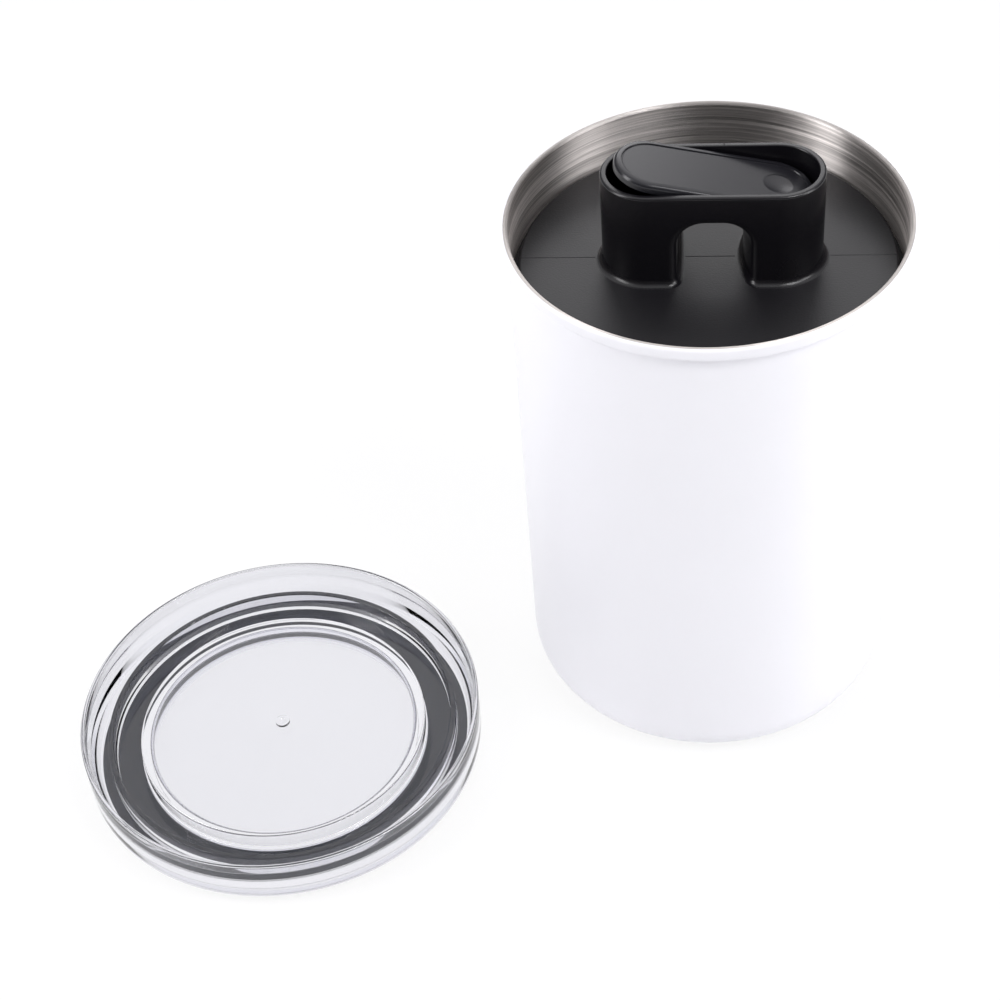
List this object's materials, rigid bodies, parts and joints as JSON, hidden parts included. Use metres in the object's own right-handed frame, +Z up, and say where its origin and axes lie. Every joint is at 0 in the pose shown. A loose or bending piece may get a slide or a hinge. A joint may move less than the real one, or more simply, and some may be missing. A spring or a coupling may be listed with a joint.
{
  "type": "coffee canister",
  "caption": "Round steel food canister with a push-down sealing plunger, its rocker-lever vent valve, and a clear stacking lid lying beside it.",
  "frame": {"origin": "centre of the canister's flat base, on the surface it stands on", "axes": "+Z up the canister's axis; +X along the handle towards the thumb end of the lever; +Y away from the viewer of the picture, square to the handle"},
  "size_m": [0.2728, 0.1851, 0.2019],
  "materials": {
    "canister_body": "white powder coat outside and over the lip, bare brushed steel inside",
    "plunger_body": "satin black moulded plastic",
    "plunger_base": "satin black moulded plastic",
    "plunger_wiper": "matt black silicone",
    "lever": "satin dark grey-black moulded plastic",
    "valve_stem": "natural white acetal",
    "stem_cap": "natural white acetal",
    "valve_seal": "matt black silicone",
    "valve_spring": "drawn stainless spring wire",
    "lid_cover": "clear polished moulded plastic",
    "lid_gasket": "dark grey silicone"
  },
  "bodies": {
    "canister": {"canister_body": "canister_body"},
    "plunger": {"plunger_body": "plunger_body", "plunger_base": "plunger_base", "plunger_wiper": "plunger_wiper", "valve_spring": "valve_spring"},
    "lever": {"lever": "lever"},
    "valve": {"valve_stem": "valve_stem", "stem_cap": "stem_cap", "valve_seal": "valve_seal"},
    "lid": {"lid_cover": "lid_cover", "lid_gasket": "lid_gasket"}
  },
  "joints": [
    {"name": "plunger_slide", "type": "slide", "parent": "canister", "child": "plunger", "axis": [0, 0, 1], "range_m": [-0.134, 0.06]},
    {"name": "lever_hinge", "type": "hinge", "parent": "plunger", "child": "lever", "pos_m": [0.0015, 0, 0.1927], "axis": [0, 1, 0], "range_deg": [-12, 0]},
    {"name": "valve_slide", "type": "slide", "parent": "plunger", "child": "valve", "axis": [0, 0, 1], "range_m": [0, 0.00496], "deforming": ["valve_spring"]},
    {"name": "lid_lift", "type": "slide", "parent": "canister", "child": "lid", "axis": [0, 0, 1], "range_m": [0, 0.26]}
  ],
  "couplings": [
    {"joint": "valve_slide", "follows": "lever_hinge", "m_per_rad": -0.02366}
  ]
}
